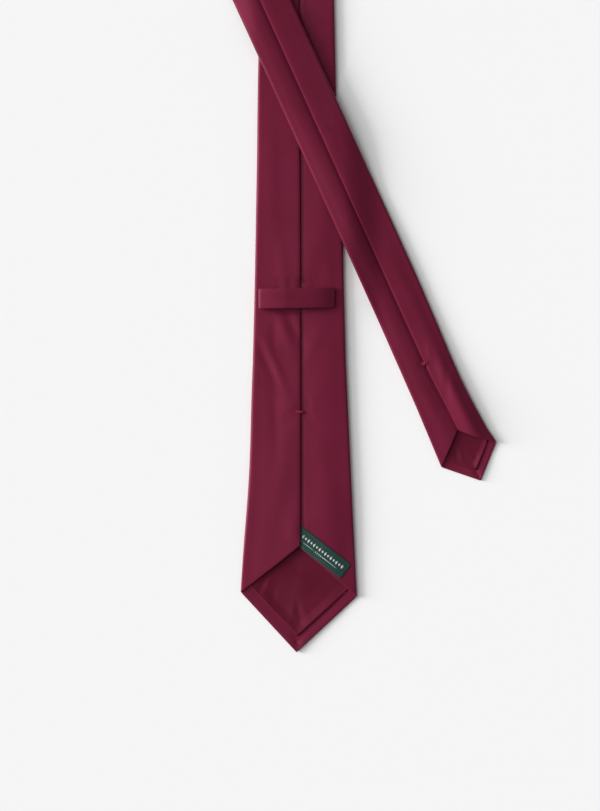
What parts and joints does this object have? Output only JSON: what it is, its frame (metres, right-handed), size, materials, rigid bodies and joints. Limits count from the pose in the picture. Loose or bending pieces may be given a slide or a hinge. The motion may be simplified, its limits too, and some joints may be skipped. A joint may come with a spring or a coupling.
{
  "type": "necktie",
  "caption": "Lined satin necktie laid back up: pointed blade with woven label and keeper loop, neckband folded over twice, narrow tail crossing the blade.",
  "frame": {"origin": "on the table, under the middle of the blade's widest line, where the two slanting edges of the point begin", "axes": "+Y up the blade to the neck, +Z off the table and out of the back of the blade, +X to the right of someone who looks at the back with the point towards them"},
  "size_m": [0.2801, 0.7315, 0.0102],
  "materials": {
    "tie_cloth": "burgundy satin",
    "tipping_cloth": "darker burgundy lining satin",
    "interlining": "brushed natural wool",
    "label_cloth": "dark green woven tape",
    "thread": "matching thread"
  },
  "bodies": {
    "blade": {"blade_shell": "tie_cloth", "blade_interlining": "interlining", "blade_slip_stitch": "thread", "keeper_loop": "tie_cloth", "keeper_tack": "thread"},
    "blade_end": {"blade_end_shell": "tie_cloth", "blade_end_interlining": "interlining", "blade_end_slip_stitch": "thread", "blade_tipping": "tipping_cloth", "blade_tipping_stitches": "thread", "label": "label_cloth", "label_stitches": "thread", "blade_bar_tack": "thread"},
    "neck": {"blade_shell_top": "tie_cloth", "neck_shell": "tie_cloth", "neck_interlining": "interlining", "neck_slip_stitch": "thread", "blade_neck_seam": "thread"},
    "tail": {"neck_shell_end": "tie_cloth", "tail_shell": "tie_cloth", "tail_interlining": "interlining", "tail_slip_stitch": "thread", "neck_tail_seam": "thread"},
    "tail_end": {"tail_end_shell": "tie_cloth", "tail_end_interlining": "interlining", "tail_end_slip_stitch": "thread", "tail_tipping": "tipping_cloth", "tail_tipping_stitches": "thread", "tail_bar_tack": "thread"}
  },
  "joints": [
    {"name": "blade_end_lift", "type": "hinge", "parent": "blade", "child": "blade_end", "pos_m": [0, 0.16, 0.0036], "axis": [-1, 0, 0], "range_deg": [0, 90]},
    {"name": "blade_fold", "type": "hinge", "parent": "blade", "child": "neck", "pos_m": [0, 0.677, 0.0038], "axis": [-0.7785, 0.6276, 0], "range_deg": [0, 180]},
    {"name": "tail_fold", "type": "hinge", "parent": "neck", "child": "tail", "pos_m": [-0.13388, 0.64793, 0.0038], "axis": [-0.4481, -0.894, 0], "range_deg": [0, 180]},
    {"name": "tail_end_lift", "type": "hinge", "parent": "tail", "child": "tail_end", "pos_m": [0.07347, 0.19295, 0.0036], "axis": [-0.91, -0.4147, 0], "range_deg": [0, 90]}
  ]
}
